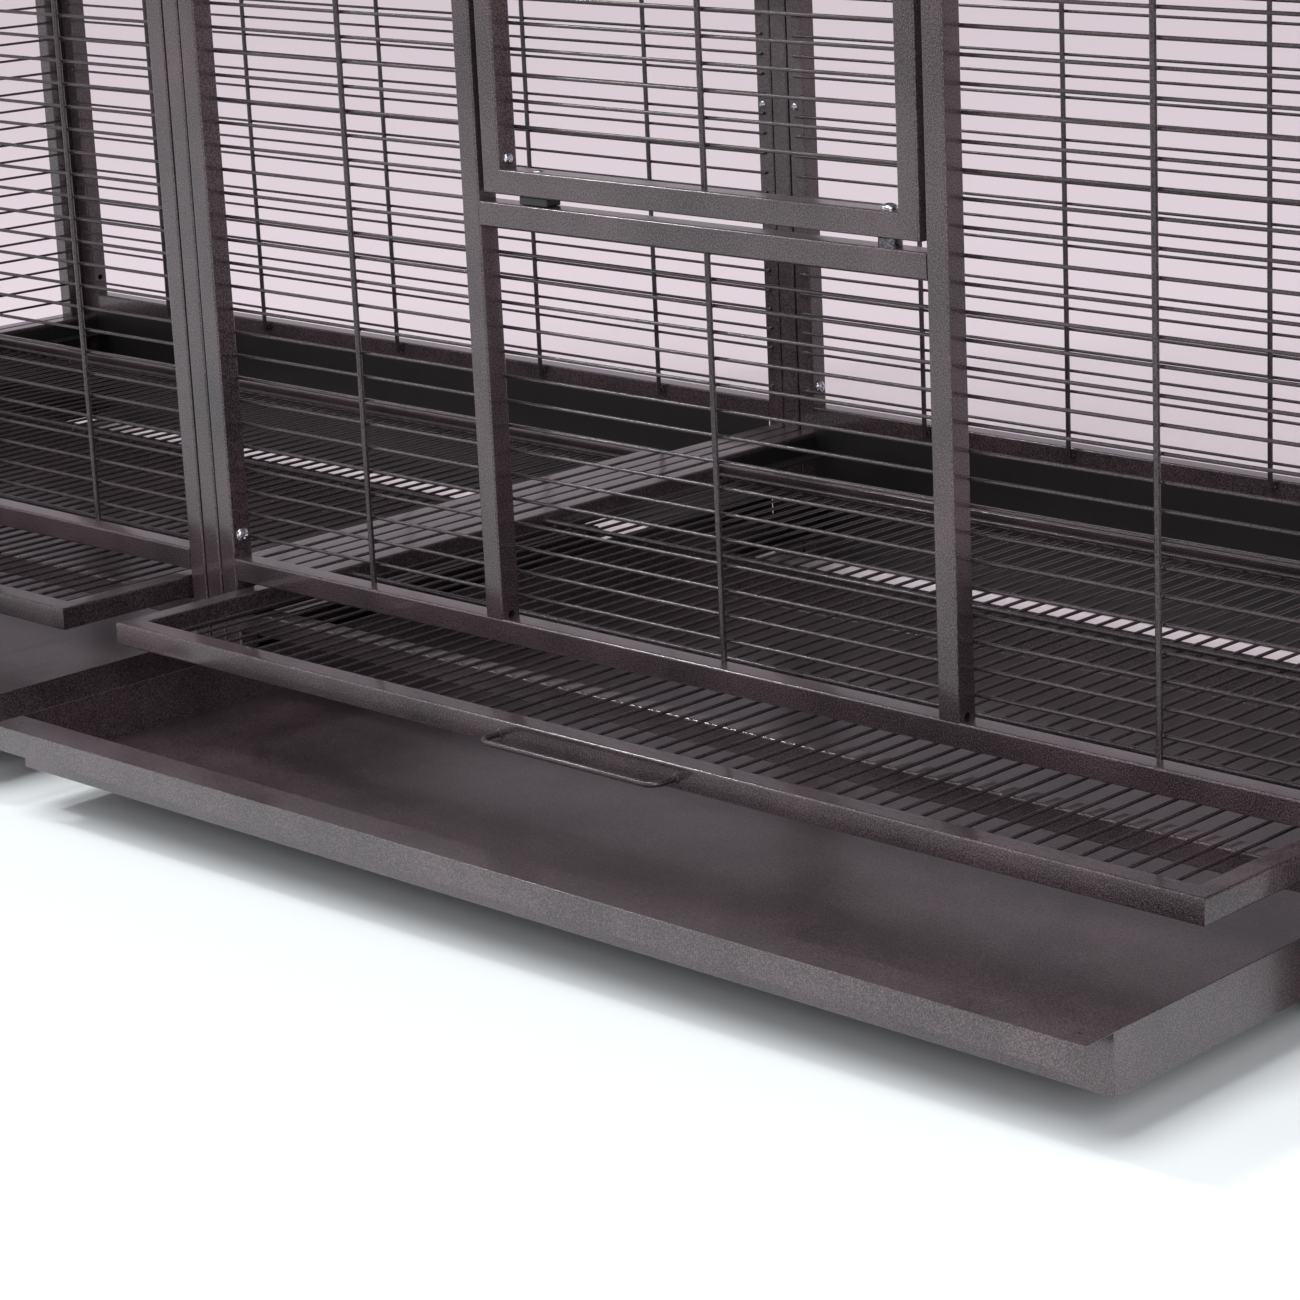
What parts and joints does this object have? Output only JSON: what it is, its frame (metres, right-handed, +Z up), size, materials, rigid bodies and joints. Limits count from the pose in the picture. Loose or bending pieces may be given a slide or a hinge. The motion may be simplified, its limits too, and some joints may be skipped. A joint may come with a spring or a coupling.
{
  "type": "bird aviary",
  "caption": "Wide bird aviary of welded wire panels on square-tube frames, with hinged doors and slide-out floor grates and trays under each bay",
  "frame": {"origin": "on the floor, at the middle of the whole part's footprint with the trays as far out as shown", "axes": "+X along the width, seen from the front to the right; +Y from the front to the back; +Z up"},
  "size_m": [2.4768, 1.046, 1.5018],
  "materials": {
    "hammered_paint": "dark grey-brown hammered enamel on steel tube, semi-gloss",
    "wire_paint": "dark enamel on steel wire, semi-gloss",
    "tray_paint": "dark grey-brown enamel on folded steel sheet, glossy floor",
    "black_paint": "black enamel on folded steel sheet, satin",
    "zinc": "bright zinc plate on steel fasteners",
    "black_plastic": "black moulded plastic, matt"
  },
  "bodies": {
    "cage": {"left_front_frame": "hammered_paint", "left_rear_frame": "hammered_paint", "left_side_stiles": "hammered_paint", "left_roof_frame": "hammered_paint", "left_base_frame": "hammered_paint", "left_front_mesh": "wire_paint", "left_rear_mesh": "wire_paint", "left_side_mesh": "wire_paint", "left_roof_mesh": "wire_paint", "left_grate_runners": "black_paint", "left_tray_runners": "black_paint", "left_back_skirt": "black_paint", "left_side_skirt": "black_paint", "left_hinge_bolts": "zinc", "left_hinge_spacers": "zinc", "right_front_frame": "hammered_paint", "right_rear_frame": "hammered_paint", "right_side_stiles": "hammered_paint", "right_roof_frame": "hammered_paint", "right_base_frame": "hammered_paint", "right_front_mesh": "wire_paint", "right_rear_mesh": "wire_paint", "right_side_mesh": "wire_paint", "right_roof_mesh": "wire_paint", "right_grate_runners": "black_paint", "right_tray_runners": "black_paint", "right_back_skirt": "black_paint", "right_side_skirt": "black_paint", "right_hinge_bolts": "zinc", "right_hinge_spacers": "zinc", "left_side_frame": "hammered_paint", "middle_frame": "hammered_paint", "right_side_frame": "hammered_paint", "frame_bolts": "zinc", "frame_nuts": "zinc", "frame_washers": "zinc", "button_screws": "zinc", "leg_feet": "black_plastic"},
    "left_door": {"left_door_frame": "hammered_paint", "left_door_mesh": "wire_paint", "left_door_pad": "black_plastic"},
    "left_turn_button": {"left_turn_button": "zinc"},
    "left_grate": {"left_grate_frame": "hammered_paint", "left_grate_wires": "wire_paint", "left_grate_rods": "wire_paint", "left_grate_handle": "wire_paint"},
    "left_tray": {"left_tray": "tray_paint"},
    "right_door": {"right_door_frame": "hammered_paint", "right_door_mesh": "wire_paint", "right_door_pad": "black_plastic"},
    "right_turn_button": {"right_turn_button": "zinc"},
    "right_grate": {"right_grate_frame": "hammered_paint", "right_grate_wires": "wire_paint", "right_grate_rods": "wire_paint", "right_grate_handle": "wire_paint"},
    "right_tray": {"right_tray": "tray_paint"}
  },
  "joints": [
    {"name": "left_door_hinge", "type": "hinge", "parent": "cage", "child": "left_door", "pos_m": [-0.4202, -0.247, 0.8139], "axis": [0, 0, 1], "range_deg": [0, 135]},
    {"name": "left_turn_button_pivot", "type": "hinge", "parent": "cage", "child": "left_turn_button", "pos_m": [-0.8562, -0.25845, 0.8307], "axis": [0, 1, 0], "range_deg": [0, 90]},
    {"name": "left_grate_slide", "type": "slide", "parent": "cage", "child": "left_grate", "axis": [0, -1, 0], "range_m": [-0.135, 0.45]},
    {"name": "left_tray_slide", "type": "slide", "parent": "cage", "child": "left_tray", "axis": [0, -1, 0], "range_m": [-0.236, 0.4]},
    {"name": "right_door_hinge", "type": "hinge", "parent": "cage", "child": "right_door", "pos_m": [0.8042, -0.247, 0.8139], "axis": [0, 0, 1], "range_deg": [0, 135]},
    {"name": "right_turn_button_pivot", "type": "hinge", "parent": "cage", "child": "right_turn_button", "pos_m": [0.3682, -0.25845, 0.8307], "axis": [0, 1, 0], "range_deg": [0, 90]},
    {"name": "right_grate_slide", "type": "slide", "parent": "cage", "child": "right_grate", "axis": [0, -1, 0], "range_m": [-0.135, 0.45]},
    {"name": "right_tray_slide", "type": "slide", "parent": "cage", "child": "right_tray", "axis": [0, -1, 0], "range_m": [-0.236, 0.4]}
  ]
}
